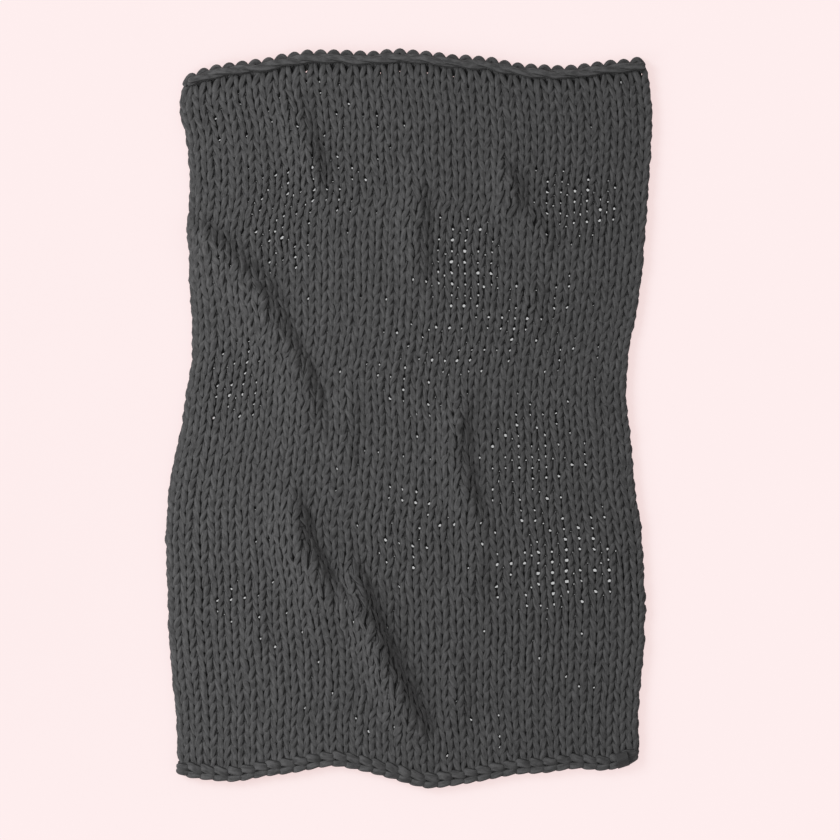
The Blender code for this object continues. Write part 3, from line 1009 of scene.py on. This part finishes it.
def label_material():
    """Plain black woven tape, its threads fine and at right angles."""
    made, tree, shader = new_material("label", TAPE, TAPE_SURFACE)
    weave = tree.nodes.new("ShaderNodeTexChecker")
    weave.inputs["Scale"].default_value = TAPE_SCALE
    weave.inputs["Color1"].default_value = TAPE_THREADS[0]
    weave.inputs["Color2"].default_value = TAPE_THREADS[1]
    tree.links.new(uv_map(tree, "Tape"), weave.inputs["Vector"])
    tree.links.new(weave.outputs["Color"], shader.inputs["Base Color"])
    add_bump(tree, shader, weave.outputs["Fac"], *TAPE_RELIEF)
    return made


def ground_shade_material():
    """Painted shade, darker than the yarn, which shows only as shadow between the stitches."""
    made, tree, shader = new_material("ground", YARN_DARK, GROUND_SURFACE)
    place = tree.nodes.new("ShaderNodeTexCoord").outputs["Object"]
    loose = noise(tree, place, GROUND_SCALE, 3)
    tree.links.new(ramp(tree, loose, GROUND_SHADE_STOPS), shader.inputs["Base Color"])
    return made


# ---------------- the floor and what lights it

FLOOR_LIT = (0.24, 0.30, 0.32, 1)  # what the floor reflects
FLOOR_GLOW = (0.762, 0.567, 0.551)  # ... and what is its own, as on a light table
FLOOR_SURFACE = {"Roughness": 0.9, "Specular IOR Level": 0.0, "Emission Strength": 1.0}
FLOOR_UNEVEN = 0.99  # how much darker its grain is
FLOOR_STOPS = ((0.3, tuple(part * FLOOR_UNEVEN for part in FLOOR_LIT[:3]) + (1,)), (0.7, FLOOR_LIT))
FLOOR_GRAIN = 3  # how fine that is, to a metre
UNDER_GLOW = (0.50, 0.50, 0.50, 1)  # painted light: the table's own white glow under the cloth, which shows through the gaps
UNDER_EDGE = 0.985  # the share of the place under the cloth where that begins to give way
LAMPS = (
    # name, place, side, watts
    ("side_light", (-2.7, 1.3, 2.6), 1.6, 77.0),
    ("fill_light", (-1.9, -0.7, 1.4), 1.2, 18.5),
)
LAMP_LOSS = 0.9  # lamps as broad as these give the floor this share of what points would


def lamp_share(place, watts):
    """How strongly a lamp that is aimed at the floor's middle shows in what the floor reflects there."""
    return LAMP_LOSS * watts * place[2] / (math.pi**2 * math.hypot(*place) ** 3)


def lamp_light(tree, spot, place, watts):
    """How strongly such a lamp shows at each spot of the floor."""
    far = math.hypot(*place)
    towards = tuple(part / far for part in place)
    ahead = vector_node(tree, "DOT_PRODUCT", spot, towards, "Value")
    away = vector_node(tree, "DISTANCE", spot, place, "Value")
    facing = math_node(tree, "SUBTRACT", far, ahead)
    fall = math_node(tree, "DIVIDE", facing, math_node(tree, "POWER", away, 4))
    return math_node(tree, "MULTIPLY", fall, lamp_share(place, watts) * far**3)


def even_glow(tree, spot):
    """The floor's own light, weaker where the lamps are stronger, so that both together are even."""
    lamps_add = sum(lamp_share(lamp, watts) for _, lamp, _, watts in LAMPS)
    added = [lit * lamps_add for lit in FLOOR_LIT[:3]]
    unlit = tuple(glow + more for glow, more in zip(FLOOR_GLOW, added)) + (1,)
    twice = tuple(glow - more for glow, more in zip(FLOOR_GLOW, added)) + (1,)
    lights = [lamp_light(tree, spot, lamp, watts) for _, lamp, _, watts in LAMPS]
    both = math_node(tree, "ADD", *lights)
    half_share = math_node(tree, "MULTIPLY", both, 0.5 / lamps_add)
    return colour_mix(tree, "MIX", half_share, unlit, twice)


def beyond_cloth(tree, spot):
    """0 in the place under the cloth, where the floor's glow is painted light for the gaps, and 1 elsewhere on
    the floor.
    """
    offset = vector_node(tree, "SUBTRACT", spot, UNDER_MIDDLE, "Vector")
    reach = vector_node(tree, "DIVIDE", offset, UNDER_REACH, "Vector")
    shares = parts(tree, vector_node(tree, "ABSOLUTE", reach, (0, 0, 0), "Vector"))
    from_middle = math_node(tree, "MAXIMUM", shares["X"], shares["Y"])
    return ramp(tree, from_middle, ((UNDER_EDGE, BLACK), (1.0, WHITE)))


def floor_material():
    """A pale studio surface that glows like a light table, with painted light under the cloth for its gaps,
    and evens out what the lamps add.
    """
    made, tree, shader = new_material("floor", FLOOR_LIT, FLOOR_SURFACE)
    spot = tree.nodes.new("ShaderNodeTexCoord").outputs["Object"]
    grain = ramp(tree, noise(tree, spot, FLOOR_GRAIN, 2), FLOOR_STOPS)
    tree.links.new(grain, shader.inputs["Base Color"])
    # painted light under the cloth, and the even glow elsewhere
    glow = colour_mix(tree, "MIX", beyond_cloth(tree, spot), UNDER_GLOW, even_glow(tree, spot))
    tree.links.new(glow, shader.inputs["Emission Color"])
    return made


# ---------------- the studio

FLOOR_SIDE = 60.0
ROOM_LIGHT = 0.50  # how strongly the room lights from all around
ROOM_COLOUR = (1.0, 0.985, 0.98, 1)
PHOTO_PIXELS = 840
PHOTO_SCALE = 0.0023  # metres of floor in one pixel of the photograph
PHOTO_MIDDLE = (0.0276, -0.00345)  # the place on the floor in the middle of the photograph
LENS = 85.0  # millimetres
SENSOR = 36.0


def add_floor():
    """The plain floor that the cloth lies on."""
    bpy.ops.mesh.primitive_grid_add(x_subdivisions=4, y_subdivisions=4, size=FLOOR_SIDE)
    floor = bpy.context.object
    floor.name = "floor"
    floor.data.materials.append(floor_material())


def add_lights():
    """Soft lamps at the photograph's upper left, and the room's even light."""
    for name, place, side, watts in LAMPS:
        lamp = bpy.data.lights.new(name, "AREA")
        lamp.shape = "SQUARE"
        lamp.size = side
        lamp.energy = watts
        hung = bpy.data.objects.new(name, lamp)
        bpy.context.scene.collection.objects.link(hung)
        hung.location = place
        hung.rotation_euler = aimed_at_middle(place)
    world = bpy.data.worlds.new("room")
    bpy.context.scene.world = world
    world.use_nodes = True
    room = world.node_tree.nodes["Background"]
    room.inputs["Color"].default_value = ROOM_COLOUR
    room.inputs["Strength"].default_value = ROOM_LIGHT


def aimed_at_middle(place):
    """The rotation that turns a lamp at a place above the floor to the floor's middle."""
    x, y, z = place
    return math.atan2(math.hypot(x, y), z), 0, math.atan2(x, -y)


def add_camera():
    """A camera straight above the floor, which sees as much of it as the photograph shows."""
    data = bpy.data.cameras.new("camera")
    data.lens = LENS
    data.sensor_width = SENSOR
    data.sensor_height = SENSOR
    camera = bpy.data.objects.new("camera", data)
    bpy.context.scene.collection.objects.link(camera)
    height = PHOTO_PIXELS * PHOTO_SCALE * LENS / SENSOR
    camera.location = (*PHOTO_MIDDLE, height + THICK / 2)
    bpy.context.scene.camera = camera


def main():
    """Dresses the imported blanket, and sets the floor, the light and the camera round it."""
    yarn = yarn_material()
    courses = [add_courses(ball, yarn) for ball in range(BALLS)]
    ends = [add_chain(yarn), add_roll(yarn), add_loops(yarn)]
    ground = add_ground(ground_shade_material())
    label = add_label(label_material())
    for piece in [*courses, ground]:
        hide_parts("blanket")
    add_floor()
    add_lights()
    add_camera()
    bpy.context.scene.view_settings.view_transform = "Standard"


main()
